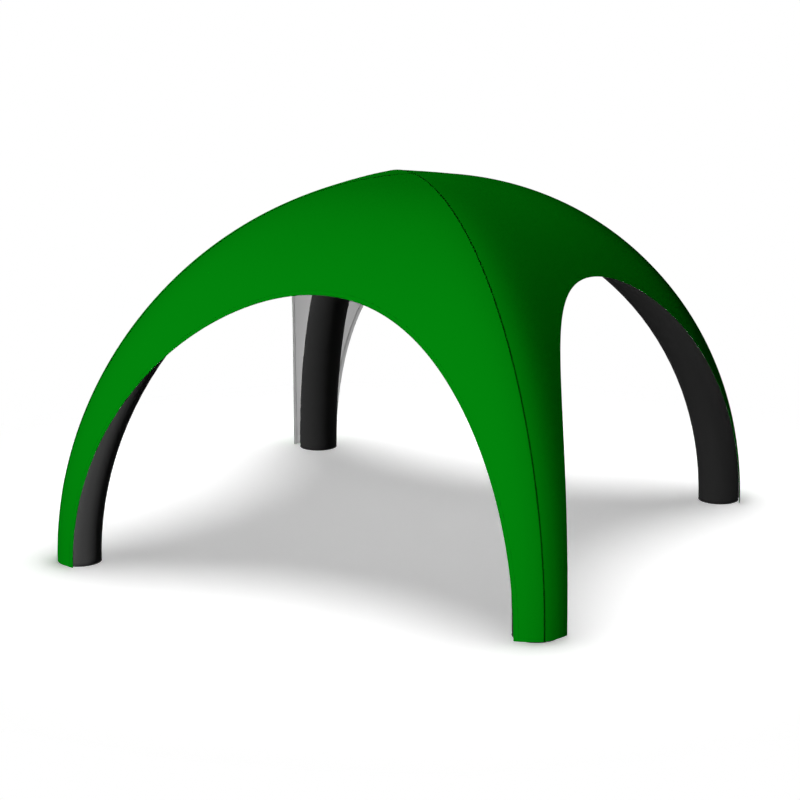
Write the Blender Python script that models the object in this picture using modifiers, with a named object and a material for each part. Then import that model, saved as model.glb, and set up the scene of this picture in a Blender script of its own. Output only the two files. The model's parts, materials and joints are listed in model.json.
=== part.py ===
"""Four-legged inflatable event tent: air tubes in fabric sleeves under a removable canopy.

Metres, +Z up, origin on the ground under the apex. Each leg is built once in its own frame,
standing in the XZ plane with +X outwards, and each canopy panel once in its own frame,
facing +X. Empties turn them to their places.
"""

import math

import bmesh
import bpy
from mathutils import Matrix, Vector

# Driving sizes of the tent
RIDGE_RADIUS = 2.8284  # of the quarter circle that each folded ridge follows
LEG_DIAMETER = 0.33  # over the fabric sleeve
ARCH_HEIGHT = 2.13  # ground to the canopy's free edge
FOOT_FLAP = 0.195  # canopy width on each side of a ridge at the ground
CANOPY_LIFT = 0.008  # canopy hem above the ground

# Cloth, sheet and tape
CANOPY_CLOTH = 0.001
SLEEVE_CLOTH = 0.0015
BLADDER_FILM = 0.0008
ARCH_HEM_WIDTH = 0.04
ARCH_HEM_THICKNESS = 0.002
FASTENER_WIDTH = 0.03
FASTENER_THICKNESS = 0.004
SOLE_THICKNESS = 0.004

# Gaps: between pieces that lie on each other, and in running fits
CLEARANCE = 0.0003
RUNNING = 0.0004

# Canopy shape: how far it stands out past the ridge chord, and over what lengths
BOW_DEPTH = 0.7 * LEG_DIAMETER / 2
WRAP_LENGTH = 0.79 * LEG_DIAMETER / 2
BOW_RISE_SHARE = 0.25

# Counts
STATIONS = 14
SLEEVE_SIDES = 16
BLADDER_SIDES = 8
ROUND_SIDES = 24
SMALL_SIDES = 16
ZIP_STEPS = 24
FIELD_COLUMNS = 3
PIN_SIDES = 12
COIL_STEPS = 10
HALVINGS = 40

# Shares of the leg's radius at which the canopy's fold has its columns
FOLD_SHARES = (0.17, 0.5)
SMALL_SHARE = 1e-4
SHARP_ANGLE = math.radians(35)

# Zip on the side of each leg
ZIP_BOTTOM = 0.2
ZIP_TOP_ANGLE = math.radians(76)
ZIP_TAPE_WIDTH = 0.034
ZIP_TAPE_THICKNESS = 0.001
ZIP_COIL_WIDTH = 0.007
ZIP_COIL_HEIGHT = 0.0025

# Zip slider and pull
SLIDER_LENGTH = 0.026
SLIDER_WALL = 0.0016
SLIDER_PLAY = 0.0014
SLIDER_FLARE = 0.0012
EAR_LENGTH = 0.007
EAR_WALL = 0.0018
PULL_BAR_RADIUS = 0.0013
PULL_WIDTH = 0.006
PULL_LENGTH = 0.036
PULL_THICKNESS = 0.0018
PULL_EYE_WALL = 0.0012

# Places of the two valves on the front leg: each in the middle of a segment, counted from the ground
INFLATION_VALVE_SEGMENT = 1
RELIEF_VALVE_SEGMENT = 2

# Inflation valve
VALVE_BORE_RADIUS = 0.013
VALVE_NECK_WALL = 0.0035
VALVE_FLANGE_RADIUS = 0.028
VALVE_FLANGE_THICKNESS = 0.0025
VALVE_NECK_HEIGHT = 0.018
VALVE_RING_WALL = 0.0035
VALVE_RING_FLANGE_RADIUS = 0.0255
VALVE_SPIDER_THICKNESS = 0.002
VALVE_SPIDER_HUB_RADIUS = 0.0055
VALVE_SPIDER_ARM_WIDTH = 0.003
VALVE_STEM_RADIUS = 0.0028
VALVE_DISC_RADIUS = 0.0155
VALVE_DISC_THICKNESS = 0.002
VALVE_SEAL_THICKNESS = 0.0015
VALVE_SEAL_WIDTH = 0.003
VALVE_BUTTON_RADIUS = 0.0075
VALVE_BUTTON_THICKNESS = 0.0025
VALVE_TRAVEL = 0.0045
VALVE_SPRING_LENGTH = 0.009
VALVE_SPRING_WIRE = 0.0007
VALVE_SPRING_TURNS = 4
VALVE_HOLE_MARGIN = 0.003

# Valve cap on its strap
CAP_WALL = 0.002
CAP_GRIP = 0.004
CAP_HEADROOM = 0.0015
STRAP_THICKNESS = 0.0015
STRAP_WIDTH = 0.004
CAP_HINGE_RADIUS = 0.0022
CAP_HINGE_PIN_RADIUS = 0.001
CAP_HINGE_WIDTH = 0.008

# Pressure relief valve
RELIEF_BORE_RADIUS = 0.008
RELIEF_NECK_WALL = 0.003
RELIEF_FLANGE_RADIUS = 0.021
RELIEF_FLANGE_THICKNESS = 0.0025
RELIEF_NECK_HEIGHT = 0.012
RELIEF_RING_WALL = 0.003
RELIEF_RING_FLANGE_RADIUS = 0.019
RELIEF_POPPET_RADIUS = 0.0095
RELIEF_POPPET_THICKNESS = 0.002
RELIEF_PILOT_RADIUS = 0.003
RELIEF_TRAVEL = 0.003
RELIEF_SPRING_LENGTH = 0.008
RELIEF_SPRING_WIRE = 0.0006
RELIEF_SPRING_TURNS = 4
RELIEF_COVER_WALL = 0.0018
RELIEF_SLOT_WIDTH = 0.003
RELIEF_SLOTS = 8

# Air links between neighbouring bladders at the crown
LINK_OFFSET = 0.085
LINK_BORE_RADIUS = 0.008
LINK_NECK_WALL = 0.002
LINK_FLANGE_RADIUS = 0.018
LINK_FLANGE_THICKNESS = 0.002
LINK_NUT_HEIGHT = 0.005

# Worked out from the sizes above
QUARTER = math.radians(90)
STATION_ANGLE = QUARTER / STATIONS
FOOTPRINT_WIDTH = RIDGE_RADIUS * math.sqrt(2)
LEG_RADIUS = LEG_DIAMETER / 2
TUBE_PATH = RIDGE_RADIUS - CANOPY_CLOTH - FASTENER_THICKNESS - 2 * CLEARANCE - LEG_RADIUS
SLEEVE_FACE = LEG_RADIUS * math.cos(math.pi / SLEEVE_SIDES)
BLADDER_RADIUS = SLEEVE_FACE - SLEEVE_CLOTH - CLEARANCE
BLADDER_FACE = BLADDER_RADIUS * math.cos(math.pi / BLADDER_SIDES)
LEG_BOTTOM = SOLE_THICKNESS + CLEARANCE
LEG_ANGLES = {"left": 225, "front": 315, "right": 45, "back": 135}
PANEL_ANGLES = {"front_left": 270, "front_right": 0, "back_right": 90, "back_left": 180}
ZIP_SIDES = {"left": -1, "front": 1, "right": 1, "back": -1}
LINKED_SIDES = {"left": (1, -1), "front": (1, -1), "right": (-1,), "back": (1,)}
LINK_OWNERS = {"front_left": ("left", 1), "front_right": ("front", 1), "back_left": ("back", 1)}


def clear_scene():
    for item in list(bpy.data.objects):
        bpy.data.objects.remove(item, do_unlink=True)


def collection(name):
    made = bpy.data.collections.new(name)
    bpy.context.scene.collection.children.link(made)
    return made


def material(name, colour, roughness, metallic=0.0):
    made = bpy.data.materials.new(name)
    made.use_nodes = True
    shader = made.node_tree.nodes["Principled BSDF"]
    shader.inputs["Base Color"].default_value = (*colour, 1.0)
    shader.inputs["Roughness"].default_value = roughness
    shader.inputs["Metallic"].default_value = metallic
    return made


clear_scene()
TENT = collection("inflatable_tent")
CUTTERS = collection("cutters")
CANOPY_GREEN = material("canopy_green", (0.003, 0.22, 0.006), 0.6)
HEM_GREY = material("hem_grey", (0.33, 0.33, 0.33), 0.7)
SLEEVE_BLACK = material("sleeve_black", (0.02, 0.02, 0.021), 0.75)
BLADDER_CLEAR = material("bladder_film", (0.55, 0.58, 0.55), 0.3)
FASTENER_BLACK = material("fastener_black", (0.015, 0.015, 0.015), 0.9)
SOLE_BLACK = material("sole_black", (0.025, 0.025, 0.025), 0.5)
ZIP_BLACK = material("zip_black", (0.02, 0.02, 0.02), 0.5)
ZIP_METAL = material("zip_metal", (0.12, 0.12, 0.12), 0.35, 1.0)
VALVE_PLASTIC = material("valve_plastic", (0.03, 0.03, 0.03), 0.4)
VALVE_GREY = material("valve_grey", (0.3, 0.3, 0.3), 0.45)
SEAL_RUBBER = material("seal_rubber", (0.02, 0.02, 0.02), 0.8)
SPRING_STEEL = material("spring_steel", (0.55, 0.55, 0.55), 0.3, 1.0)


# Mesh helpers


def mesh_object(name, mesh, group=CUTTERS):
    made = bpy.data.objects.new(name, mesh)
    group.objects.link(made)
    return made


def from_bmesh(name, shape):
    mesh = bpy.data.meshes.new(name)
    shape.to_mesh(mesh)
    shape.free()
    return mesh_object(name, mesh)


def guide(item):
    item.hide_render = True
    item.display_type = "WIRE"
    return item


def baked(item, fill=False):
    """The evaluated mesh of an object, with faces outwards. The object is removed."""
    bpy.context.view_layer.update()
    graph = bpy.context.evaluated_depsgraph_get()
    mesh = bpy.data.meshes.new_from_object(item.evaluated_get(graph))
    mesh.transform(item.matrix_world)
    name = item.name
    bpy.data.objects.remove(item, do_unlink=True)
    shape = bmesh.new()
    shape.from_mesh(mesh)
    bmesh.ops.remove_doubles(shape, verts=shape.verts, dist=CLEARANCE / 100)
    if fill:
        bmesh.ops.holes_fill(shape, edges=shape.edges)
    bmesh.ops.recalc_face_normals(shape, faces=shape.faces)
    shape.to_mesh(mesh)
    shape.free()
    mesh.name = name
    return mesh


def part(name, mesh, finish, parent=None, smooth=True):
    """A named piece of the tent, at its parent's place."""
    made = mesh_object(name, mesh, TENT)
    made.parent = parent
    if not mesh.materials:
        mesh.materials.append(finish)
    if smooth:
        mesh.shade_smooth()
        mesh.set_sharp_from_angle(angle=SHARP_ANGLE)
    return made


def anchor(name, matrix, parent=None):
    made = bpy.data.objects.new(name, None)
    TENT.objects.link(made)
    made.parent = parent
    made.matrix_local = matrix
    return made


def boolean(item, operation, cutter):
    step = item.modifiers.new(operation.lower(), "BOOLEAN")
    step.operation = operation
    step.solver = "EXACT"
    step.object = cutter
    return step


def solidify(item, thickness, offset=0.0):
    step = item.modifiers.new("thickness", "SOLIDIFY")
    step.thickness = thickness
    step.offset = offset
    step.use_even_offset = True
    return step


def screw(item, axis, angle, steps):
    step = item.modifiers.new("turn", "SCREW")
    step.axis = axis
    step.angle = angle
    step.steps = steps
    step.render_steps = steps
    step.use_merge_vertices = abs(abs(angle) - math.tau) < SMALL_SHARE
    step.merge_threshold = CLEARANCE / 100
    return step


def outline_object(name, points, closed=True):
    """A polygon of edges through points, for a Screw modifier."""
    shape = bmesh.new()
    corners = [shape.verts.new(point) for point in points]
    for here, there in zip(corners, corners[1:]):
        shape.edges.new((here, there))
    if closed:
        shape.edges.new((corners[-1], corners[0]))
    return from_bmesh(name, shape)


def turned(name, profile, sides=ROUND_SIDES, closed=True):
    """A turned piece about Z. The profile is a list of (radius, height)."""
    item = outline_object(name, [(radius, 0, height) for radius, height in profile], closed)
    screw(item, "Z", math.tau, sides)
    return baked(item)


def ring(name, inner, outer, bottom, top, sides=ROUND_SIDES):
    return turned(name, [(outer, top), (outer, bottom), (inner, bottom), (inner, top)], sides)


def box(name, size, centre=(0, 0, 0)):
    shape = bmesh.new()
    bmesh.ops.create_cube(shape, size=1)
    bmesh.ops.scale(shape, vec=Vector(size), verts=shape.verts)
    bmesh.ops.translate(shape, vec=Vector(centre), verts=shape.verts)
    return from_bmesh(name, shape)


def cylinder(name, radius, length, sides=SMALL_SIDES, matrix=None):
    """A cylinder about Z, centred on the origin or placed by a matrix."""
    shape = bmesh.new()
    bmesh.ops.create_cone(
        shape, cap_ends=True, segments=sides, radius1=radius, radius2=radius, depth=length
    )
    item = from_bmesh(name, shape)
    item.matrix_world = matrix or Matrix()
    return item


def extruded(name, outlines, depth):
    """A flat 2D curve with holes, thickened both ways along Z."""
    curve = bpy.data.curves.new(name, "CURVE")
    curve.dimensions = "2D"
    curve.fill_mode = "BOTH"
    curve.extrude = depth / 2
    for outline in outlines:
        spline = curve.splines.new("POLY")
        spline.points.add(len(outline) - 1)
        for point, (across, along) in zip(spline.points, outline):
            point.co = (across, along, 0, 1)
        spline.use_cyclic_u = True
    return baked(mesh_object(name, curve))


def circle_points(radius, sides, centre=(0.0, 0.0), start=0.0, sweep=math.tau):
    step = sweep / sides
    return [
        (
            centre[0] + radius * math.cos(start + index * step),
            centre[1] + radius * math.sin(start + index * step),
        )
        for index in range(sides if sweep == math.tau else sides + 1)
    ]


def combined(name, meshes, operation="UNION"):
    """One solid from several, by one Boolean after another."""
    base = mesh_object(name, meshes[0])
    tools = [guide(mesh_object("tool", mesh)) for mesh in meshes[1:]]
    for tool in tools:
        boolean(base, operation, tool)
    mesh = baked(base)
    for tool in tools:
        bpy.data.objects.remove(tool, do_unlink=True)
    return mesh


# Frames on a leg


def up_leg(angle):
    return Matrix.Rotation(-angle, 4, "Y")


def leg_matrix(leg):
    return Matrix.Rotation(math.radians(LEG_ANGLES[leg]), 4, "Z")


def inner_seat(segment, depth):
    """On the leg's inner face: +Z points into the tent and +X up the leg."""
    angle = segment * STATION_ANGLE + STATION_ANGLE / 2
    radius = (TUBE_PATH - depth) * math.cos(STATION_ANGLE / 2)
    return up_leg(angle) @ Matrix.Translation((radius, 0, 0)) @ Matrix.Rotation(-QUARTER, 4, "Y")


def side_seat(side, angle, height):
    """On the leg's side face: +Z points off it and +X up the leg."""
    turn = Matrix(((0, side, 0, 0), (0, 0, side, 0), (1, 0, 0, 0), (0, 0, 0, 1)))
    return up_leg(angle) @ Matrix.Translation((TUBE_PATH, side * (SLEEVE_FACE + height), 0)) @ turn


def mitre_seat(side):
    """On the mitre plane between two legs: +Z points across it to the next leg."""
    height = math.sqrt(TUBE_PATH**2 - LINK_OFFSET**2)
    place = Matrix.Translation((LINK_OFFSET, side * LINK_OFFSET, height))
    return place @ Matrix.Rotation(side * QUARTER * 1.5, 4, "Z") @ Matrix.Rotation(QUARTER, 4, "Y")


def sector(name, bottom, clearance, top=None):
    """A square prism whose corner lies on the Z axis. It keeps what is in one quarter."""
    side = 2 * FOOTPRINT_WIDTH
    height = (top or side) - bottom
    item = box(name, (side, side, height), (side / 2, side / 2, bottom + height / 2))
    item.matrix_world = Matrix.Translation((clearance * math.sqrt(2), 0, 0)) @ Matrix.Rotation(
        -QUARTER / 2, 4, "Z"
    )
    return guide(item)


# Legs


def tube_surface(name, radius, sides):
    """An open tube from the ground past the apex, with a flat side facing outwards."""
    ring_points = circle_points(radius, sides, (TUBE_PATH, 0), math.pi / sides)
    item = outline_object(name, [(across, along, 0) for across, along in ring_points])
    screw(item, "Y", -QUARTER, STATIONS)
    return item


def sleeve_mesh(sector_cutter, holes=()):
    item = mesh_object("sleeve", baked(tube_surface("tube", LEG_RADIUS, SLEEVE_SIDES)))
    solidify(item, SLEEVE_CLOTH, -1.0)
    boolean(item, "INTERSECT", sector_cutter)
    for hole in holes:
        boolean(item, "DIFFERENCE", hole)
    return baked(item)


def bladder_mesh(sector_cutter, holes):
    """A thin closed film tube, mitred at the crown, with its ports cut through."""
    item = mesh_object(
        "bladder", baked(tube_surface("tube", BLADDER_RADIUS, BLADDER_SIDES), fill=True)
    )
    boolean(item, "INTERSECT", sector_cutter)
    item = mesh_object("bladder", baked(item))
    solidify(item, BLADDER_FILM, -1.0)
    for hole in holes:
        boolean(item, "DIFFERENCE", hole)
    return baked(item)


def arc_ribbon(name, middle_radius, width, thickness, angles, steps, side_offset=None):
    """A ribbon that follows the leg: over its top, or on its side at a lateral offset."""
    if side_offset is None:
        points = [(middle_radius, -width / 2, 0), (middle_radius, width / 2, 0)]
    else:
        points = [
            (middle_radius - width / 2, side_offset, 0),
            (middle_radius + width / 2, side_offset, 0),
        ]
    item = outline_object(name, points, closed=False)
    screw(item, "Y", -(angles[1] - angles[0]), steps)
    item.matrix_world = up_leg(angles[0])
    item = mesh_object(name, baked(item))
    solidify(item, thickness)
    return item


def fastener_mesh(sector_cutter):
    middle = TUBE_PATH + SLEEVE_FACE + CLEARANCE + FASTENER_THICKNESS / 2
    item = arc_ribbon(
        "fastener", middle, FASTENER_WIDTH, FASTENER_THICKNESS, (0, QUARTER), STATIONS
    )
    boolean(item, "INTERSECT", sector_cutter)
    return baked(item)


def zip_angles():
    return math.asin(ZIP_BOTTOM / TUBE_PATH), ZIP_TOP_ANGLE


def zip_tape_mesh(side):
    offset = side * (SLEEVE_FACE + CLEARANCE + ZIP_TAPE_THICKNESS / 2)
    return baked(
        arc_ribbon(
            "tape", TUBE_PATH, ZIP_TAPE_WIDTH, ZIP_TAPE_THICKNESS, zip_angles(), STATIONS, offset
        )
    )


def coil_bottom():
    return 2 * CLEARANCE + ZIP_TAPE_THICKNESS


def zip_coil_mesh(side):
    offset = side * (SLEEVE_FACE + coil_bottom() + ZIP_COIL_HEIGHT / 2)
    return baked(
        arc_ribbon(
            "coil", TUBE_PATH, ZIP_COIL_WIDTH, ZIP_COIL_HEIGHT, zip_angles(), ZIP_STEPS, offset
        )
    )


def slider_top():
    return ZIP_COIL_HEIGHT + RUNNING + SLIDER_WALL


def pull_axis_height():
    return slider_top() + PULL_EYE_WALL + PULL_BAR_RADIUS + 2 * RUNNING


def slider_mesh():
    """A slider body over the coil: local X up the zip, Z off the leg, coil bottom at Z = 0."""
    half = ZIP_COIL_WIDTH / 2 + SLIDER_PLAY + SLIDER_WALL
    inner = half - SLIDER_WALL
    roof = slider_top() - SLIDER_WALL
    section = [
        (-half - SLIDER_FLARE, RUNNING),
        (-inner, RUNNING),
        (-inner, roof),
        (inner, roof),
        (inner, RUNNING),
        (half + SLIDER_FLARE, RUNNING),
        (half, slider_top()),
        (-half, slider_top()),
    ]
    body = extruded("slider", [section], SLIDER_LENGTH)
    body.transform(Matrix(((0, 0, 1, 0), (1, 0, 0, 0), (0, 1, 0, 0), (0, 0, 0, 1))))
    reach = pull_axis_height() + PULL_BAR_RADIUS + EAR_WALL
    ear_at = PULL_WIDTH / 2 + RUNNING + EAR_WALL / 2
    pieces = [body]
    for way in (-1, 1):
        base = slider_top() - SLIDER_WALL / 2
        centre = (0, way * ear_at, (base + reach) / 2)
        pieces.append(baked(box("ear", (EAR_LENGTH, EAR_WALL, reach - base), centre)))
    lay = Matrix.Translation((0, 0, pull_axis_height())) @ Matrix.Rotation(QUARTER, 4, "X")
    pieces.append(baked(cylinder("bar", PULL_BAR_RADIUS, 2 * ear_at, PIN_SIDES, lay)))
    return combined("slider", pieces)


def pull_mesh():
    """A pull that hangs down the zip from its eye, with its eye on the local Y axis."""
    eye = PULL_BAR_RADIUS + RUNNING
    rim = eye + PULL_EYE_WALL
    root = math.asin(min(1.0, PULL_THICKNESS / 2 / rim))
    outline = circle_points(rim, PIN_SIDES, (0, 0), -math.pi + root, math.tau - 2 * root)
    tip = -PULL_LENGTH
    outline += [(tip, PULL_THICKNESS / 2), (tip, -PULL_THICKNESS / 2)]
    mesh = extruded("pull", [outline, circle_points(eye, PIN_SIDES)], PULL_WIDTH)
    mesh.transform(Matrix.Rotation(QUARTER, 4, "X"))
    return mesh


# Canopy


def ridge_half(height):
    """Half the distance between neighbouring ridges at a height."""
    return math.sqrt(max(RIDGE_RADIUS**2 - height**2, 0) / 2)


def canopy_point(turn, share):
    """A point of the panel that faces +X. Share runs from the ridge, 0, to the arch edge, 1."""
    half = FOOTPRINT_WIDTH / 2 - FOOT_FLAP * share
    top = RIDGE_RADIUS - (RIDGE_RADIUS - ARCH_HEIGHT) * share
    height = top * math.sin(turn)
    lateral = half * math.cos(turn)
    chord = ridge_half(height)
    bow = BOW_DEPTH * math.tanh(chord / (BOW_RISE_SHARE * FOOTPRINT_WIDTH))
    off_ridge = max(chord - lateral, 0)
    return Vector((chord + bow * (1 - math.exp(-off_ridge / WRAP_LENGTH)), lateral, height))


def canopy_normal(turn, share):
    step = SMALL_SHARE
    low, high = max(share - step, 0), min(share + step, 1)
    before, after = max(turn - step, 0), min(turn + step, QUARTER)
    across = canopy_point(turn, high) - canopy_point(turn, low)
    along = canopy_point(after, share) - canopy_point(before, share)
    normal = across.cross(along)
    if normal.x < 0:
        normal.negate()
    if turn > QUARTER - step:
        normal.y = 0
    return normal.normalized()


def share_at(turn, distance, from_edge):
    """The share at which the canopy lies a distance from the ridge, or from its free edge."""
    low, high = 0.0, 1.0
    edge = canopy_point(turn, 1.0)
    for _ in range(HALVINGS):
        middle = (low + high) / 2
        point = canopy_point(turn, middle)
        if from_edge:
            reached = (point - edge).length < distance
        else:
            reached = ridge_half(point.z) - point.y > distance
        if reached:
            high = middle
        else:
            low = middle
    return (low + high) / 2


def column_shares(turn):
    """Columns that follow the fold over the leg, then the field, then the arch hem."""
    hem = share_at(turn, ARCH_HEM_WIDTH, True)
    near = [share_at(turn, LEG_RADIUS * fold, False) for fold in FOLD_SHARES]
    field = [near[-1] + (hem - near[-1]) * (i + 1) / FIELD_COLUMNS for i in range(FIELD_COLUMNS)]
    return [0.0, *near, *field, 1.0]


def canopy_grid(name, first_column, inset):
    """Half a panel as a grid that is shaped row by row and triangulated."""
    rows = [index * STATION_ANGLE for index in range(STATIONS + 1)]
    columns = len(column_shares(0.0)) - first_column
    shape = bmesh.new()
    bmesh.ops.create_grid(shape, x_segments=columns - 1, y_segments=STATIONS, size=1)
    for vertex in shape.verts:
        column = round((vertex.co.x + 1) / 2 * (columns - 1)) + first_column
        turn = rows[round((vertex.co.y + 1) / 2 * STATIONS)]
        share = column_shares(turn)[column]
        vertex.co = canopy_point(turn, share)
        if inset:
            vertex.co -= canopy_normal(turn, share) * inset
    bmesh.ops.triangulate(shape, faces=shape.faces, quad_method="FIXED")
    bmesh.ops.remove_doubles(shape, verts=shape.verts, dist=CLEARANCE / 100)
    bmesh.ops.recalc_face_normals(shape, faces=shape.faces)
    if sum(face.normal.x * face.calc_area() for face in shape.faces) < 0:
        bmesh.ops.reverse_faces(shape, faces=shape.faces)
    return from_bmesh(name, shape)


def mirror(item, axes, target=None):
    step = item.modifiers.new("mirror", "MIRROR")
    step.use_axis = axes
    step.mirror_object = target
    step.merge_threshold = CLEARANCE / 10
    return step


def canopy_panel_mesh(sector_cutter):
    """The whole canopy is thickened so that it folds evenly over each ridge, then cut."""
    diagonal = bpy.data.objects.new("diagonal", None)
    CUTTERS.objects.link(diagonal)
    diagonal.rotation_euler.z = QUARTER / 2
    item = canopy_grid("canopy", 0, 0)
    mirror(item, (False, True, False))
    mirror(item, (True, True, False), diagonal)
    solidify(item, CANOPY_CLOTH, -1.0)
    boolean(item, "INTERSECT", sector_cutter)
    mesh = baked(item)
    bpy.data.objects.remove(diagonal, do_unlink=True)
    return mesh


def arch_hem_mesh(sector_cutter):
    last = len(column_shares(0.0)) - 2
    item = canopy_grid("hem", last, CANOPY_CLOTH + CLEARANCE)
    mirror(item, (False, True, False))
    solidify(item, ARCH_HEM_THICKNESS, -1.0)
    boolean(item, "INTERSECT", sector_cutter)
    return baked(item)


# Valves: local Z points out of the leg, with Z = 0 on the bladder's outer face


def coil_mesh(name, radius, wire, bottom, top, turns):
    """A compression spring with its end turns laid flat."""
    low, high = bottom + wire, top - wire
    curve = bpy.data.curves.new(name, "CURVE")
    curve.dimensions = "3D"
    curve.bevel_depth = wire / 2
    curve.bevel_resolution = 1
    curve.use_fill_caps = True
    spline = curve.splines.new("POLY")
    count = turns * COIL_STEPS
    spline.points.add(count)
    for index, point in enumerate(spline.points):
        share = index / count
        angle = math.tau * turns * share
        height = low + (high - low) * share
        point.co = (radius * math.cos(angle), radius * math.sin(angle), height, 1)
    return baked(mesh_object(name, curve))


def spider_mesh(name, rim, outer, bottom, top, hub_outer, hub_inner, arm):
    """A round plate with four openings between its hub and its rim."""
    pieces = [ring(name, rim, outer, bottom, top), ring("hub", hub_inner, hub_outer, bottom, top)]
    reach = (rim + outer) / 2
    inside = (hub_inner + hub_outer) / 2
    for quarter in range(4):
        centre = ((reach + inside) / 2, 0, (bottom + top) / 2)
        item = box("arm", (reach - inside, arm, top - bottom), centre)
        item.matrix_world = Matrix.Rotation(quarter * QUARTER, 4, "Z")
        pieces.append(baked(item))
    return combined(name, pieces)


def valve_levels():
    film = -BLADDER_FILM - CLEARANCE
    neck_top = VALVE_NECK_HEIGHT
    spider_bottom = neck_top + CLEARANCE
    spider_top = spider_bottom + VALVE_SPIDER_THICKNESS
    button_bottom = spider_top + VALVE_SPRING_LENGTH + 2 * CLEARANCE
    return {
        "film": film,
        "base_bottom": film - VALVE_FLANGE_THICKNESS,
        "neck_top": neck_top,
        "spider_bottom": spider_bottom,
        "spider_top": spider_top,
        "button_bottom": button_bottom,
        "button_top": button_bottom + VALVE_BUTTON_THICKNESS,
    }


def valve_base_mesh():
    at = valve_levels()
    neck = VALVE_BORE_RADIUS + VALVE_NECK_WALL
    return turned(
        "valve_base",
        [
            (neck, at["neck_top"]),
            (neck, at["film"]),
            (VALVE_FLANGE_RADIUS, at["film"]),
            (VALVE_FLANGE_RADIUS, at["base_bottom"]),
            (VALVE_BORE_RADIUS, at["base_bottom"]),
            (VALVE_BORE_RADIUS, at["neck_top"]),
        ],
    )


def valve_ring_radii():
    inner = VALVE_BORE_RADIUS + VALVE_NECK_WALL + CLEARANCE
    return inner, inner + VALVE_RING_WALL


def valve_body_mesh():
    """The screwed ring that clamps the film to the base, closed by the stem guide."""
    at = valve_levels()
    inner, outer = valve_ring_radii()
    flange_top = CLEARANCE + VALVE_FLANGE_THICKNESS
    skirt = turned(
        "valve_body",
        [
            (outer, at["spider_top"]),
            (outer, flange_top),
            (VALVE_RING_FLANGE_RADIUS, flange_top),
            (VALVE_RING_FLANGE_RADIUS, CLEARANCE),
            (inner, CLEARANCE),
            (inner, at["spider_bottom"]),
            (VALVE_BORE_RADIUS, at["spider_bottom"]),
            (VALVE_BORE_RADIUS, at["spider_top"]),
        ],
    )
    guide_plate = spider_mesh(
        "guide",
        VALVE_BORE_RADIUS - VALVE_NECK_WALL / 2,
        VALVE_BORE_RADIUS + VALVE_NECK_WALL / 2,
        at["spider_bottom"],
        at["spider_top"],
        VALVE_SPIDER_HUB_RADIUS,
        VALVE_STEM_RADIUS + RUNNING,
        VALVE_SPIDER_ARM_WIDTH,
    )
    return combined("valve_body", [skirt, guide_plate])


def valve_seal_levels():
    top = valve_levels()["base_bottom"] - CLEARANCE
    return top - VALVE_SEAL_THICKNESS, top


def valve_plunger_mesh():
    at = valve_levels()
    disc_top = valve_seal_levels()[0] - CLEARANCE
    return turned(
        "valve_plunger",
        [
            (0, at["button_top"]),
            (VALVE_BUTTON_RADIUS, at["button_top"]),
            (VALVE_BUTTON_RADIUS, at["button_bottom"]),
            (VALVE_STEM_RADIUS, at["button_bottom"]),
            (VALVE_STEM_RADIUS, disc_top),
            (VALVE_DISC_RADIUS, disc_top),
            (VALVE_DISC_RADIUS, disc_top - VALVE_DISC_THICKNESS),
            (0, disc_top - VALVE_DISC_THICKNESS),
        ],
        closed=False,
    )


def valve_seal_mesh():
    bottom, top = valve_seal_levels()
    return ring("seal", VALVE_DISC_RADIUS - VALVE_SEAL_WIDTH, VALVE_DISC_RADIUS, bottom, top)


def valve_spring_mesh():
    at = valve_levels()
    radius = (VALVE_STEM_RADIUS + VALVE_BUTTON_RADIUS) / 2
    return coil_mesh(
        "valve_spring",
        radius,
        VALVE_SPRING_WIRE,
        at["spider_top"],
        at["button_bottom"],
        VALVE_SPRING_TURNS,
    )


def cap_hinge():
    """Radius and height of the cap's hinge line, level with the cup's rim so that it can swing."""
    outer = valve_ring_radii()[1] + RUNNING + CAP_WALL
    return outer + CLEARANCE + CAP_HINGE_RADIUS, valve_levels()["spider_top"] - CAP_GRIP


def cap_mesh():
    """A cup over the push button, with a knuckle beside it for the strap's pin."""
    at = valve_levels()
    outer = valve_ring_radii()[1] + RUNNING
    radius, height = cap_hinge()
    roof = at["button_top"] + CAP_HEADROOM
    cup = turned(
        "valve_cap",
        [
            (0, roof + CAP_WALL),
            (outer + CAP_WALL / 2, roof + CAP_WALL),
            (outer + CAP_WALL, roof + CAP_WALL / 2),
            (outer + CAP_WALL, height),
            (outer, height),
            (outer, roof),
            (0, roof),
        ],
        closed=False,
    )
    width = CAP_HINGE_WIDTH / 3 - RUNNING
    knuckle = extruded("knuckle", [circle_points(CAP_HINGE_RADIUS, PIN_SIDES)], width)
    knuckle.transform(Matrix.Translation((radius, 0, height)) @ Matrix.Rotation(QUARTER, 4, "X"))
    lug_depth = radius - outer - CAP_WALL / 2
    lug_centre = (radius - lug_depth / 2, 0, height + CAP_HINGE_RADIUS)
    lug = baked(box("lug", (lug_depth, width, 2 * CAP_HINGE_RADIUS), lug_centre))
    hole = baked(
        cylinder(
            "hole",
            CAP_HINGE_PIN_RADIUS + RUNNING,
            2 * CAP_HINGE_WIDTH,
            PIN_SIDES,
            Matrix.Translation((radius, 0, height)) @ Matrix.Rotation(QUARTER, 4, "X"),
        )
    )
    solid = combined("valve_cap", [cup, lug, knuckle])
    return combined("valve_cap", [solid, hole], "DIFFERENCE")


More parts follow.
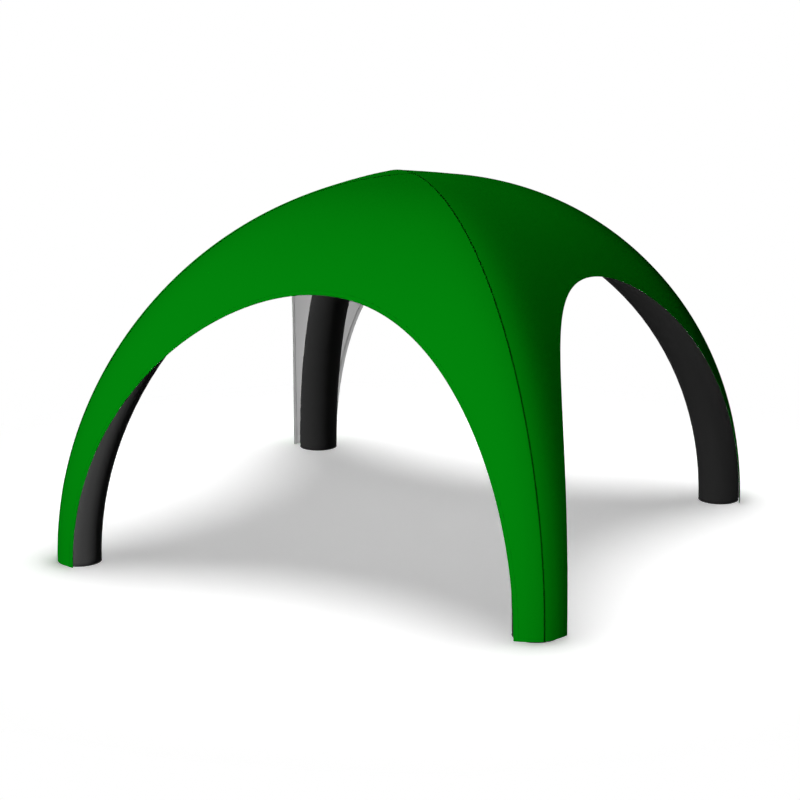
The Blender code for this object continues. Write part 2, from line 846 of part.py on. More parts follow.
def strap_mesh():
    """The ring that holds the cap: it sits on the body's flange and carries the hinge pin."""
    inner = valve_ring_radii()[1] + CLEARANCE
    bottom = 2 * CLEARANCE + VALVE_FLANGE_THICKNESS
    top = bottom + STRAP_THICKNESS
    collar = ring("strap", inner, inner + STRAP_WIDTH, bottom, top)
    radius, height = cap_hinge()
    ear_width = CAP_HINGE_WIDTH / 3
    outline = circle_points(CAP_HINGE_RADIUS, SMALL_SIDES // 2, (0, 0), 0, math.pi)
    outline += [(-CAP_HINGE_RADIUS, bottom - height), (CAP_HINGE_RADIUS, bottom - height)]
    pieces = [collar]
    for way in (-1, 1):
        ear = extruded("ear", [outline], ear_width - RUNNING)
        place = Matrix.Translation((radius, way * ear_width, height))
        ear.transform(place @ Matrix.Rotation(QUARTER, 4, "X"))
        pieces.append(ear)
    pieces.append(
        baked(
            cylinder(
                "pin",
                CAP_HINGE_PIN_RADIUS,
                CAP_HINGE_WIDTH - 2 * RUNNING,
                PIN_SIDES,
                Matrix.Translation((radius, 0, height)) @ Matrix.Rotation(QUARTER, 4, "X"),
            )
        )
    )
    return combined("strap", pieces)


def relief_levels():
    film = -BLADDER_FILM - CLEARANCE
    seat = RELIEF_NECK_HEIGHT + CLEARANCE
    plate_top = seat + RELIEF_POPPET_THICKNESS
    poppet_bottom = plate_top + CLEARANCE
    poppet_top = poppet_bottom + RELIEF_POPPET_THICKNESS
    return {
        "film": film,
        "base_bottom": film - RELIEF_FLANGE_THICKNESS,
        "seat": seat,
        "plate_top": plate_top,
        "poppet_bottom": poppet_bottom,
        "poppet_top": poppet_top,
        "roof": poppet_top + RELIEF_SPRING_LENGTH + 2 * CLEARANCE,
    }


def relief_radii():
    neck = RELIEF_BORE_RADIUS + RELIEF_NECK_WALL
    inner = neck + CLEARANCE
    return neck, inner, inner + RELIEF_RING_WALL


def relief_base_mesh():
    at = relief_levels()
    neck = relief_radii()[0]
    return turned(
        "relief_base",
        [
            (neck, RELIEF_NECK_HEIGHT),
            (neck, at["film"]),
            (RELIEF_FLANGE_RADIUS, at["film"]),
            (RELIEF_FLANGE_RADIUS, at["base_bottom"]),
            (RELIEF_BORE_RADIUS, at["base_bottom"]),
            (RELIEF_BORE_RADIUS, RELIEF_NECK_HEIGHT),
        ],
        SMALL_SIDES,
    )


def relief_body_mesh():
    """The screwed ring that clamps the film, with the poppet's seat across its top."""
    at = relief_levels()
    _, inner, outer = relief_radii()
    flange_top = CLEARANCE + RELIEF_FLANGE_THICKNESS
    hole = RELIEF_PILOT_RADIUS * 2
    return turned(
        "relief_body",
        [
            (outer, at["plate_top"]),
            (outer, flange_top),
            (RELIEF_RING_FLANGE_RADIUS, flange_top),
            (RELIEF_RING_FLANGE_RADIUS, CLEARANCE),
            (inner, CLEARANCE),
            (inner, at["seat"]),
            (hole, at["seat"]),
            (hole, at["plate_top"]),
        ],
        SMALL_SIDES,
    )


def relief_poppet_mesh():
    """A sealing disc with a guide spigot below it and a spring pilot above."""
    at = relief_levels()
    spigot = RELIEF_PILOT_RADIUS * 2 - RUNNING
    pilot_top = at["poppet_top"] + RELIEF_SPRING_LENGTH - RELIEF_TRAVEL - 2 * RUNNING
    return turned(
        "relief_poppet",
        [
            (0, pilot_top),
            (RELIEF_PILOT_RADIUS, pilot_top),
            (RELIEF_PILOT_RADIUS, at["poppet_top"]),
            (RELIEF_POPPET_RADIUS, at["poppet_top"]),
            (RELIEF_POPPET_RADIUS, at["poppet_bottom"]),
            (spigot, at["poppet_bottom"]),
            (spigot, at["seat"] - RELIEF_TRAVEL),
            (0, at["seat"] - RELIEF_TRAVEL),
        ],
        SMALL_SIDES,
        closed=False,
    )


def relief_spring_mesh():
    at = relief_levels()
    radius = (RELIEF_PILOT_RADIUS + RELIEF_POPPET_RADIUS) / 2
    return coil_mesh(
        "relief_spring",
        radius,
        RELIEF_SPRING_WIRE,
        at["poppet_top"],
        at["roof"],
        RELIEF_SPRING_TURNS,
    )


def relief_cover_mesh():
    """A slotted dome that screws over the ring and holds the spring down."""
    at = relief_levels()
    outer = relief_radii()[2]
    bore = outer + CLEARANCE
    skirt_bottom = 2 * CLEARANCE + RELIEF_FLANGE_THICKNESS
    top = at["roof"] + RELIEF_COVER_WALL
    shell = turned(
        "relief_cover",
        [
            (0, top),
            (bore, top),
            (bore + RELIEF_COVER_WALL, at["roof"]),
            (bore + RELIEF_COVER_WALL, skirt_bottom),
            (bore, skirt_bottom),
            (bore, at["roof"]),
            (0, at["roof"]),
        ],
        closed=False,
    )
    slots = []
    low = at["plate_top"] + RUNNING
    high = at["roof"] - RELIEF_COVER_WALL
    for index in range(RELIEF_SLOTS // 2):
        item = box(
            "slot",
            (4 * outer, RELIEF_SLOT_WIDTH, high - low),
            (0, 0, (high + low) / 2),
        )
        item.matrix_world = Matrix.Rotation(index * math.tau / RELIEF_SLOTS, 4, "Z")
        slots.append(baked(item))
    return combined("relief_cover", [shell, *slots], "DIFFERENCE")


# Air links: local Z = 0 on the mitre plane


def link_port_mesh():
    bottom = -1.5 * CLEARANCE - BLADDER_FILM
    neck = LINK_BORE_RADIUS + LINK_NECK_WALL
    top = -bottom + LINK_NUT_HEIGHT
    return turned(
        "link_port",
        [
            (neck, top),
            (neck, bottom),
            (LINK_FLANGE_RADIUS, bottom),
            (LINK_FLANGE_RADIUS, bottom - LINK_FLANGE_THICKNESS),
            (LINK_BORE_RADIUS, bottom - LINK_FLANGE_THICKNESS),
            (LINK_BORE_RADIUS, top),
        ],
        SMALL_SIDES,
    )


def link_nut_mesh():
    bottom = 1.5 * CLEARANCE + BLADDER_FILM
    inner = LINK_BORE_RADIUS + LINK_NECK_WALL + CLEARANCE
    return ring(
        "link_nut", inner, LINK_FLANGE_RADIUS, bottom, bottom + LINK_NUT_HEIGHT, SMALL_SIDES
    )


# Assembly


def bore_cutter(name, radius, matrix):
    """A hole through a wall at a seat, longer than any wall there."""
    return guide(cylinder(name, radius, LEG_RADIUS / 2, ROUND_SIDES, matrix))


def valve_seats():
    return {
        "inflation": inner_seat(INFLATION_VALVE_SEGMENT, BLADDER_FACE),
        "relief": inner_seat(RELIEF_VALVE_SEGMENT, BLADDER_FACE),
    }


def sleeve_holes():
    seats = valve_seats()
    return [
        bore_cutter("valve_hole", VALVE_FLANGE_RADIUS + VALVE_HOLE_MARGIN, seats["inflation"]),
        bore_cutter("relief_hole", RELIEF_FLANGE_RADIUS + VALVE_HOLE_MARGIN, seats["relief"]),
    ]


def bladder_holes(leg):
    neck = LINK_BORE_RADIUS + LINK_NECK_WALL + CLEARANCE
    holes = [
        guide(cylinder("link_hole", neck, LINK_OFFSET / 2, SMALL_SIDES, mitre_seat(side)))
        for side in LINKED_SIDES[leg]
    ]
    if leg == "front":
        seats = valve_seats()
        valve_neck = VALVE_BORE_RADIUS + VALVE_NECK_WALL + CLEARANCE
        relief_neck = relief_radii()[0] + CLEARANCE
        holes.append(bore_cutter("valve_neck_hole", valve_neck, seats["inflation"]))
        holes.append(bore_cutter("relief_neck_hole", relief_neck, seats["relief"]))
    return holes


def build_legs():
    low_sector = sector("leg_sector", LEG_BOTTOM, CLEARANCE / 2)
    bladder_sector = sector("bladder_sector", LEG_BOTTOM + CLEARANCE, CLEARANCE / 2)
    plain_sleeve = sleeve_mesh(low_sector)
    valve_sleeve = sleeve_mesh(low_sector, sleeve_holes())
    fastener = fastener_mesh(low_sector)
    sole = turned(
        "sole",
        [
            (0, SOLE_THICKNESS),
            (LEG_RADIUS, SOLE_THICKNESS),
            (LEG_RADIUS, 0),
            (0, 0),
        ],
        2 * SLEEVE_SIDES,
        closed=False,
    )
    tapes = {side: zip_tape_mesh(side) for side in (-1, 1)}
    coils = {side: zip_coil_mesh(side) for side in (-1, 1)}
    slider, pull = slider_mesh(), pull_mesh()
    slider_angle = zip_angles()[0] + SLIDER_LENGTH / TUBE_PATH
    for leg in LEG_ANGLES:
        base = anchor(f"leg_{leg}", leg_matrix(leg))
        side = ZIP_SIDES[leg]
        part(f"leg_sleeve_{leg}", valve_sleeve if leg == "front" else plain_sleeve,
             SLEEVE_BLACK, base)
        part(f"leg_bladder_{leg}", bladder_mesh(bladder_sector, bladder_holes(leg)),
             BLADDER_CLEAR, base)
        part(f"canopy_fastener_{leg}", fastener, FASTENER_BLACK, base)
        foot = anchor(f"foot_{leg}", Matrix.Translation((TUBE_PATH, 0, 0)), base)
        part(f"foot_sole_{leg}", sole, SOLE_BLACK, foot)
        part(f"zip_tape_{leg}", tapes[side], ZIP_BLACK, base)
        part(f"zip_coil_{leg}", coils[side], ZIP_BLACK, base)
        seat = anchor(f"slider_seat_{leg}", side_seat(side, slider_angle, coil_bottom()), base)
        part(f"zip_slider_{leg}", slider, ZIP_METAL, seat)
        eye = anchor(f"pull_eye_{leg}", Matrix.Translation((0, 0, pull_axis_height())), seat)
        part(f"zip_pull_{leg}", pull, ZIP_METAL, eye)


def build_links():
    port, nut = link_port_mesh(), link_nut_mesh()
    for name, (leg, side) in LINK_OWNERS.items():
        seat = anchor(f"link_{name}", leg_matrix(leg) @ mitre_seat(side))
        part(f"air_link_port_{name}", port, VALVE_GREY, seat)
        part(f"air_link_nut_{name}", nut, VALVE_PLASTIC, seat)


def build_canopy():
    cutter = sector("panel_sector", CANOPY_LIFT, CLEARANCE / 2)
    panel, hem = canopy_panel_mesh(cutter), arch_hem_mesh(cutter)
    for name, angle in PANEL_ANGLES.items():
        base = anchor(f"panel_{name}", Matrix.Rotation(math.radians(angle), 4, "Z"))
        part(f"canopy_panel_{name}", panel, CANOPY_GREEN, base)
        part(f"arch_hem_{name}", hem, HEM_GREY, base)


def build_valves():
    frame = leg_matrix("front")
    seats = valve_seats()
    valve = anchor("inflation_valve", frame @ seats["inflation"])
    part("valve_base", valve_base_mesh(), VALVE_GREY, valve)
    part("valve_body", valve_body_mesh(), VALVE_PLASTIC, valve)
    part("valve_plunger", valve_plunger_mesh(), VALVE_GREY, valve)
    part("valve_seal", valve_seal_mesh(), SEAL_RUBBER, valve)
    part("valve_spring", valve_spring_mesh(), SPRING_STEEL, valve)
    part("valve_cap", cap_mesh(), VALVE_PLASTIC, valve)
    part("valve_cap_strap", strap_mesh(), SEAL_RUBBER, valve)
    relief = anchor("relief_valve", frame @ seats["relief"])
    part("relief_base", relief_base_mesh(), VALVE_GREY, relief)
    part("relief_body", relief_body_mesh(), VALVE_PLASTIC, relief)
    part("relief_poppet", relief_poppet_mesh(), VALVE_GREY, relief)
    part("relief_spring", relief_spring_mesh(), SPRING_STEEL, relief)
    part("relief_cover", relief_cover_mesh(), VALVE_PLASTIC, relief)


build_legs()
build_links()
build_canopy()
build_valves()
bpy.context.view_layer.update()
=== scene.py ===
import json
import math

import bmesh
import bpy
import numpy as np
from mathutils import Matrix, Vector

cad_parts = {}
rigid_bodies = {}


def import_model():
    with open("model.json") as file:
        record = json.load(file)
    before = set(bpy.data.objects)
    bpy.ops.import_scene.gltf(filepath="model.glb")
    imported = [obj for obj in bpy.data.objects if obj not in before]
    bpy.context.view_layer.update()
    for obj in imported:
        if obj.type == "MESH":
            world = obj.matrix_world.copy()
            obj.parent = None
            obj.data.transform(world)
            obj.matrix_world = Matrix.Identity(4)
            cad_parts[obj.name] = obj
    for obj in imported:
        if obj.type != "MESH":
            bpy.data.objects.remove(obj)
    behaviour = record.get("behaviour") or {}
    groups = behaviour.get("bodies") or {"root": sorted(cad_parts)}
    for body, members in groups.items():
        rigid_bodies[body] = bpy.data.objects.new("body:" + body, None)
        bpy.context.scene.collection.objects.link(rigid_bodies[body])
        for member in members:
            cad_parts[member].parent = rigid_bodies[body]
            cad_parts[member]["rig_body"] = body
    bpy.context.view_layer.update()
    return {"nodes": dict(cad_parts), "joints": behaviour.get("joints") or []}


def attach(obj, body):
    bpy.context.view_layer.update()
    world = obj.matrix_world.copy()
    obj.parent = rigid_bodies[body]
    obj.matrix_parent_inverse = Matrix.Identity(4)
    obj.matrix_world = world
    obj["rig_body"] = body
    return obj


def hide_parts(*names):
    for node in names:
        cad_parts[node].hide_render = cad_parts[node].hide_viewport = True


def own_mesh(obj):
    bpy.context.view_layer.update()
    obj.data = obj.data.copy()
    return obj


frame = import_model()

# The canopy, in metres, as its solids have it. The ridge lines over the legs are quarter circles,
# and a panel's foot reaches from its ridge line as far as the flap is wide
RIDGE_R = 2.8284
SPAN = RIDGE_R * math.sqrt(2)
ARCH_HEIGHT = 2.13
FOOT_FLAP = 0.195
LIFT = 0.008
CLOTH = 0.001
HEM_WIDTH = 0.04
HEM_THICK = 0.002
HEM_GAP = 0.0003

# The legs, whose middle lines are quarter circles too. The solids of their tubes have flat sides,
# and FLAT is the distance of these from the middle line. The drawn tubes are round, with a radius
# between that of the sides and that of the corners, and they start at LIFT above the ground
LEG_R = 0.165
PATH_R = 2.6578
SLEEVE_R = 0.1636
SLEEVE_FLAT = 0.16183
SLEEVE_THICK = 0.0015
SLEEVE_LIFT = 0.0043
BLADDER_R = 0.157
BLADDER_FLAT = 0.14785
BLADDER_THICK = 0.0008
BLADDER_LIFT = 0.006
TUBE_LENGTH = 4.17

# How far a panel bows out beside its tube, and over what distance
BOW = 0.7 * LEG_R
WRAP = 0.79 * LEG_R

# Each valve's turn up the front leg, and the radius of its hole in the sleeve and in the bladder
STATION = math.pi / 28
VALVES = {
    "inflation": {"up": 1.5 * STATION, "sleeve": 0.031, "bladder": 0.0168},
    "relief": {"up": 2.5 * STATION, "sleeve": 0.024, "bladder": 0.0113},
}

QUARTER = math.pi / 2

# The ways, in degrees from +X, in which the legs stand and the panels face
LEGS = {"left": 225, "front": 315, "right": 45, "back": 135}
PANELS = {"front_left": 270, "front_right": 0, "back_right": 90, "back_left": 180}


# Meshes

# Extra rows this far inside a cloth's ends, and how close points are that are joined
RIM_STEPS = (0.0015, 0.006)
WELD = 1e-6


def turn_z(degrees):
    return Matrix.Rotation(math.radians(degrees), 4, "Z")


def grid(name, points, uv, wrap=False, extra=None):
    """A quad mesh from rows of points, with a UV in metres and named point values."""
    rows, cols = points.shape[:2]
    mesh = bpy.data.meshes.new(name)
    index = np.arange(rows * cols).reshape(rows, cols)
    if wrap:
        index = np.hstack([index, index[:, :1]])
    faces = np.stack([index[:-1, :-1], index[:-1, 1:], index[1:, 1:], index[1:, :-1]], -1)
    faces = faces.reshape(-1, 4)
    mesh.from_pydata(points.reshape(-1, 3).tolist(), [], faces.tolist())
    where = uv.reshape(-1, 2)[faces.ravel()]
    if wrap:
        step = uv[0, 1, 0] - uv[0, 0, 0]
        last = np.zeros((rows - 1, cols, 4), bool)
        last[:, -1, 1:3] = True
        where[last.ravel(), 0] = uv[0, -1, 0] + step
    mesh.uv_layers.new(name="UVMap").data.foreach_set("uv", where.astype(np.float32).ravel())
    for key, values in (extra or {}).items():
        named = mesh.attributes.new(key, "FLOAT", "POINT")
        named.data.foreach_set("value", values.astype(np.float32).ravel())
    mesh.shade_smooth()
    return mesh


def place(name, mesh, matrix, materials, body="tent", replaces=()):
    """A piece that rides on a body. A mesh that several pieces share gets its materials once."""
    obj = bpy.data.objects.new(name, mesh)
    bpy.context.scene.collection.objects.link(obj)
    obj.matrix_world = matrix
    if not mesh.materials:
        for material in materials:
            mesh.materials.append(material)
    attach(obj, body)
    if replaces:
        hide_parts(*replaces)
    return obj


def solidify(obj, thickness, rim=0):
    """Gives a sheet its thickness, inward. The rim takes the material of that slot."""
    step = obj.modifiers.new("thickness", "SOLIDIFY")
    step.thickness = thickness
    step.offset = -1.0
    step.use_even_offset = True
    step.material_offset_rim = rim


def distance_along(line):
    """How far along a line each of its points lies."""
    return np.concatenate([[0], np.cumsum(np.linalg.norm(np.diff(line, axis=0), axis=1))])


def steps_with_ends(count, length, both=False):
    """Even steps from 0 to 1 with extra ones just inside the ends, where the rim is turned over."""
    close = np.array(RIM_STEPS) / length
    steps = np.concatenate([np.linspace(0, 1, count + 1), close, 1 - close if both else []])
    return np.sort(steps)


def outward(mesh, away):
    """Turns a mesh's faces so that they point along away on the whole."""
    total = sum((p.normal * p.area for p in mesh.polygons), Vector())
    if total.dot(Vector(away)) < 0:
        mesh.flip_normals()
    return mesh


def closed(mesh):
    """The same mesh with its ends joined or filled and its faces turned outward."""
    edit = bmesh.new()
    edit.from_mesh(mesh)
    bmesh.ops.remove_doubles(edit, verts=edit.verts, dist=WELD)
    bmesh.ops.holes_fill(edit, edges=[edge for edge in edit.edges if edge.is_boundary])
    bmesh.ops.recalc_face_normals(edit, faces=edit.faces)
    edit.to_mesh(mesh)
    edit.free()
    return mesh


def pulled_in(mesh, depth):
    """The same sheet, moved against its normals."""
    normals = [v.normal.copy() for v in mesh.vertices]
    for vertex, normal in zip(mesh.vertices, normals):
        vertex.co -= normal * depth
    return mesh


# The canopy's surface, in the frame of the panel that faces +X

# Where the columns of a panel's mesh lie: from the ridge over the fold, and from the arch's edge
# over the hem. The rest is spread evenly between
FOLD_COLUMNS = [0.0, 0.006, 0.014, 0.026, 0.042, 0.062, 0.088, 0.12]
HEM_COLUMNS = [HEM_WIDTH, 0.022, 0.006, 0.0015, 0.0]
FIELD_COLUMNS = 14
PANEL_ROWS = 60
HALF_ARCH = 2.15
SAMPLES = 801


def top_of(share):
    return RIDGE_R - (RIDGE_R - ARCH_HEIGHT) * share


def canopy_surface(turn, share):
    """Points by their turn up the panel and their share of the way from the ridge to the arch."""
    height = top_of(share) * np.sin(turn)
    lateral = (SPAN / 2 - FOOT_FLAP * share) * np.cos(turn)
    chord = np.sqrt(np.maximum(RIDGE_R**2 - height**2, 0) / 2)
    bow = BOW * np.tanh(chord / (SPAN / 4))
    out = chord + bow * (1 - np.exp(-np.maximum(chord - lateral, 0) / WRAP))
    return np.stack([out, lateral, height], -1)


def turn_up(share, step):
    """The turn at a step from the panel's lower end, just above the ground, to its middle."""
    low = np.arcsin(LIFT / top_of(share))
    return low + (QUARTER - low) * step


def canopy_rows(from_ridge, field, from_edge):
    """Points of half a panel, row by row, and how far each lies from the ridge and the arch."""
    dense = np.linspace(0, 1, SAMPLES)
    points, near, far = [], [], []
    for step in steps_with_ends(PANEL_ROWS, HALF_ARCH):
        length = distance_along(canopy_surface(turn_up(dense, step), dense))
        total = length[-1]
        first, last = from_ridge[-1], total - from_edge[0]
        inside = first + (last - first) * np.arange(1, field) / field
        wanted = np.concatenate([from_ridge, inside, total - np.array(from_edge)])
        share = np.interp(wanted, length, dense)
        points.append(canopy_surface(turn_up(share, step), share))
        near.append(wanted)
        far.append(total - wanted)
    return np.array(points), np.array(near), np.array(far)


def whole_panel(half):
    """Both halves of a panel from one: rows run from one foot over the middle to the other."""
    other = half[:-1][::-1].copy()
    if half.ndim == 3:
        other[..., 1] *= -1
    return np.concatenate([half, other])


def repeated(values, count):
    return np.repeat(values[:, None], count, axis=1)


def canopy_mesh():
    points, near, far = (whole_panel(half) for half in canopy_rows(FOLD_COLUMNS, FIELD_COLUMNS, HEM_COLUMNS))
    along = repeated(distance_along(points[:, 0]), points.shape[1])
    extra = {"near": near, "far": far, "along": along}
    return outward(grid("canopy", points, np.stack([near, along], -1), extra=extra), (1, 0, 0.3))


def hem_mesh():
    """The strip under the arch's edge: the last columns of a panel, moved inward."""
    points, _, far = (whole_panel(half) for half in canopy_rows([0.0], 2, HEM_COLUMNS))
    kept = len(HEM_COLUMNS)
    points, far = points[:, -kept:], far[:, -kept:]
    along = repeated(distance_along(points[:, -1]), points.shape[1])
    mesh = grid("hem", points, np.stack([far, along], -1), extra={"far": far, "along": along})
    return pulled_in(outward(mesh, (1, 0, 0.3)), CLOTH + HEM_GAP)


# Legs, in the frame of the leg that stands out along +X

# The soft waves on a sleeve's inner side: their step in metres, how their height swells and ebbs
# on the way up, and how fast they begin and end as multiples of the leg's length
RIPPLE_STEP = 0.021
RIPPLE_SWELL = 9.0
RIPPLE_BEGIN = 12
RIPPLE_END = 8
# A valve's flat seat: how far it reaches from the valve's axis, and over what distance it runs
# out. The mesh is made finer a margin farther, and nothing deeper than the depth is touched
SEAT_REACH = 0.078
SEAT_BLEND = 0.042
SEAT_MARGIN = 0.002
SEAT_DEPTH = 0.02
HOLE_REACH = 0.05
# The bound edge of a hole in the sleeve: its middle lies outside the hole's edge and the seat
BINDING_OUT = 0.0024
BINDING_RISE = 0.0009
BINDING_HALF_WIDTH = 0.003
BINDING_HALF_THICK = 0.001
BINDING_STEPS = 64
# The seam strip over a ridge line: its section's heights above the line and places to the side.
# It stops a small turn before the crown
SEAM_SECTION = [(0.0003, -0.005), (0.0012, -0.0032), (0.0014, 0.0), (0.0012, 0.0032), (0.0003, 0.005)]
SEAM_THICK = 0.001
SEAM_STOP = 0.0018


def on_arc(reach, lateral, up):
    """Points by their distance from the arc's centre, to the side, and their turn up the leg."""
    return np.stack([reach * np.cos(up), lateral, reach * np.sin(up)], -1)


def leg_limits(radius, around, bottom, gap):
    """Where the tube starts above the ground and where it meets the mitre, as turns up the leg."""
    reach = PATH_R + radius * np.cos(around)
    side = np.abs(radius * np.sin(around)) + gap
    return np.arcsin(bottom / reach), np.arccos(np.clip(side / reach, -1, 1))


def tube_mesh(name, radius, bottom, gap, rows, sides, rounded=0.0, ripple=0.0):
    """A leg's tube. Its lower end can be rounded, and its inner side can have soft waves."""
    around = np.arange(sides) / sides * math.tau
    inner = np.maximum(-np.cos(around), 0) ** 2
    low, high = leg_limits(radius, around, bottom, gap)
    points, along = [], []
    for step in steps_with_ends(rows, TUBE_LENGTH, both=True):
        up = low + (high - low) * step
        height = up * PATH_R
        wave = np.sin(height / RIPPLE_STEP) * (0.6 + 0.4 * np.sin(up * RIPPLE_SWELL + around))
        fade = np.clip(step * RIPPLE_BEGIN, 0, 1) * np.clip((1 - step) * RIPPLE_END, 0, 1)
        size = radius + ripple * inner * wave * fade
        if rounded:
            below = np.clip(1 - (height - bottom) / rounded, 0, 1)
            size = size - rounded * (1 - np.sqrt(1 - below**2))
        lateral = np.clip(size * np.sin(around), -SLEEVE_FLAT, SLEEVE_FLAT)
        reach = PATH_R + np.minimum(size * np.cos(around), SLEEVE_FLAT)
        points.append(on_arc(reach, lateral, up))
        along.append(height)
    points, along = np.array(points), np.array(along)
    across = np.repeat((around * radius)[None], len(points), axis=0)
    ends = {"near": along[-1][None] - along, "far": along - bottom, "along": across}
    mesh = grid(name, points, np.stack([across, along], -1), wrap=True, extra=ends)
    top = max(mesh.polygons, key=lambda face: face.center.length)
    if top.normal.dot(top.center) < 0:
        mesh.flip_normals()
    return mesh


def seat_height(depth):
    """How far a valve's flat seat lies from the arc's centre, for a tube with this flat side."""
    return (PATH_R - depth) * math.cos(STATION / 2)


def open_for_valves(mesh, depth, tube):
    """Flattens a tube's inner face round each valve and cuts a round hole there."""
    edit = bmesh.new()
    edit.from_mesh(mesh)
    seat = seat_height(depth)
    for valve in VALVES.values():
        hole = valve[tube]
        axis = Vector((math.cos(valve["up"]), 0, math.sin(valve["up"])))
        centre = axis * seat

        def off_axis(point):
            return (point - axis * point.dot(axis)).length

        def close(point, reach):
            return (point - centre).length < reach + SEAT_DEPTH and off_axis(point) < reach

        for _ in range(2):
            faces = [f for f in edit.faces if close(f.calc_center_median(), SEAT_REACH + SEAT_MARGIN)]
            edges = list({e for f in faces for e in f.edges})
            bmesh.ops.subdivide_edges(edit, edges=edges, cuts=1, use_grid_fill=True)
        for vertex in edit.verts:
            if close(vertex.co, SEAT_REACH):
                blend = min(max((SEAT_REACH - off_axis(vertex.co)) / SEAT_BLEND, 0), 1)
                blend = blend * blend * (3 - 2 * blend)
                vertex.co += axis * (seat - vertex.co.dot(axis)) * blend
        inside = [f for f in edit.faces if close(f.calc_center_median(), hole)]
        bmesh.ops.delete(edit, geom=inside, context="FACES")
        for vertex in edit.verts:
            if vertex.is_boundary and close(vertex.co, HOLE_REACH):
                side = vertex.co - axis * vertex.co.dot(axis)
                vertex.co = centre + side.normalized() * hole
    edit.to_mesh(mesh)
    edit.free()
    return mesh


def binding_mesh(up, hole):
    """The bound edge of a valve's hole in the sleeve: a flat tape ring on the seat."""
    axis = np.array((math.cos(up), 0, math.sin(up)))
    across = np.array((0, 1, 0))
    turn, around = np.linspace(0, 1, BINDING_STEPS + 1) * math.tau, np.arange(12) / 12 * math.tau
    out = np.outer(np.cos(turn), across) + np.outer(np.sin(turn), np.cross(axis, across))
    radius = hole + BINDING_OUT + BINDING_HALF_WIDTH * np.cos(around)
    rise = seat_height(SLEEVE_FLAT) - BINDING_RISE - BINDING_HALF_THICK * np.sin(around)
    points = out[:, None] * radius[None, :, None] + axis * rise[None, :, None]
    uv = np.stack(np.meshgrid(around * 2 * BINDING_HALF_THICK, turn * hole), -1)
    return closed(grid("binding", points, uv, wrap=True))


def seam_mesh(rows):
    """The narrow strip over a ridge line, from the ground to just below the crown."""
    rise, lateral = np.array(SEAM_SECTION).T
    reach = RIDGE_R + rise
    up = np.linspace(math.asin(LIFT / RIDGE_R), QUARTER - SEAM_STOP, rows + 1)
    steps = distance_along(np.stack([reach, lateral], -1))
    lateral, across = (np.repeat(values[None], rows + 1, axis=0) for values in (lateral, steps))
    along = repeated(up * reach[0], len(reach))
    mesh = grid(
        "seam", on_arc(reach, lateral, up[:, None]), np.stack([across, along], -1),
        extra={"across": across, "along": along},
    )
    return outward(mesh, (1, 0, 1))


# Materials

# Sizes of stitches, weave and puckers, in metres, but for the stitches' share of their pitch
STITCH_PITCH = 0.006
STITCH_SHARE = 0.72
THREAD_HALF = 0.0007
THREAD_SOFT = 0.0004
THREAD_RISE = 0.0006
WEAVE_RISE = 0.00012
PUCKER_REACH = 0.09
# Scales of the noise: slow changes of shade, fine ones, puckers, and moulded unevenness
CLOUD_SCALE = 1.3
FINE_SCALE = 90.0
PUCKER_SCALE = 22.0
MOULD_SCALE = 60.0


def node(tree, kind, values=None, **settings):
    made = tree.nodes.new(kind)
    for key, value in settings.items():
        setattr(made, key, value)
    for key, value in (values or {}).items():
        made.inputs[key].default_value = value
    return made


def feed(tree, value, socket):
    """Sets a socket to a number or a colour, or links it to another node's output."""
    if isinstance(value, bpy.types.NodeSocket):
        tree.links.new(value, socket)
    elif isinstance(value, tuple):
        socket.default_value = (*value, 1)
    else:
        socket.default_value = value


def math_node(tree, operation, *values):
    made = node(tree, "ShaderNodeMath", operation=operation)
    for slot, value in enumerate(values):
        feed(tree, value, made.inputs[slot])
    return made.outputs[0]


def mixed(tree, factor, first, second):
    made = node(tree, "ShaderNodeMix", data_type="RGBA")
    for slot, value in ((0, factor), (6, first), (7, second)):
        feed(tree, value, made.inputs[slot])
    return made.outputs[2]


def remap(tree, value, low, high, to_low=0.0, to_high=1.0, shape="LINEAR"):
    ends = {"From Min": low, "From Max": high, "To Min": to_low, "To Max": to_high}
    made = node(tree, "ShaderNodeMapRange", ends, interpolation_type=shape)
    tree.links.new(value, made.inputs["Value"])
    return made.outputs[0]


def length_of(tree, vector):
    made = node(tree, "ShaderNodeVectorMath", operation="LENGTH")
    tree.links.new(vector, made.inputs[0])
    return made.outputs["Value"]


def position(tree):
    return node(tree, "ShaderNodeTexCoord").outputs["Object"]


def attribute(tree, name):
    return node(tree, "ShaderNodeAttribute", attribute_name=name).outputs["Fac"]


def noise(tree, vector, scale, detail=2.0):
    made = node(tree, "ShaderNodeTexNoise", {"Scale": scale, "Detail": detail})
    tree.links.new(vector, made.inputs["Vector"])
    return made.outputs["Fac"]


def bump(tree, height, distance, strength=1.0, normal=None):
    made = node(tree, "ShaderNodeBump", {"Distance": distance, "Strength": strength})
    tree.links.new(height, made.inputs["Height"])
    if normal is not None:
        tree.links.new(normal, made.inputs["Normal"])
    return made.outputs[0]


def scaled(colour, factor):
    return tuple(channel * factor for channel in colour)


def grey(level):
    return (level, level, level)


def shader(name, colour, roughness, metallic=0.0, specular=0.5):
    material = bpy.data.materials.new(name)
    material.use_nodes = True
    tree = material.node_tree
    bsdf = tree.nodes["Principled BSDF"]
    bsdf.inputs["Base Color"].default_value = (*colour, 1)
    bsdf.inputs["Roughness"].default_value = roughness
    bsdf.inputs["Metallic"].default_value = metallic
    bsdf.inputs["Specular IOR Level"].default_value = specular
    return material, tree, bsdf


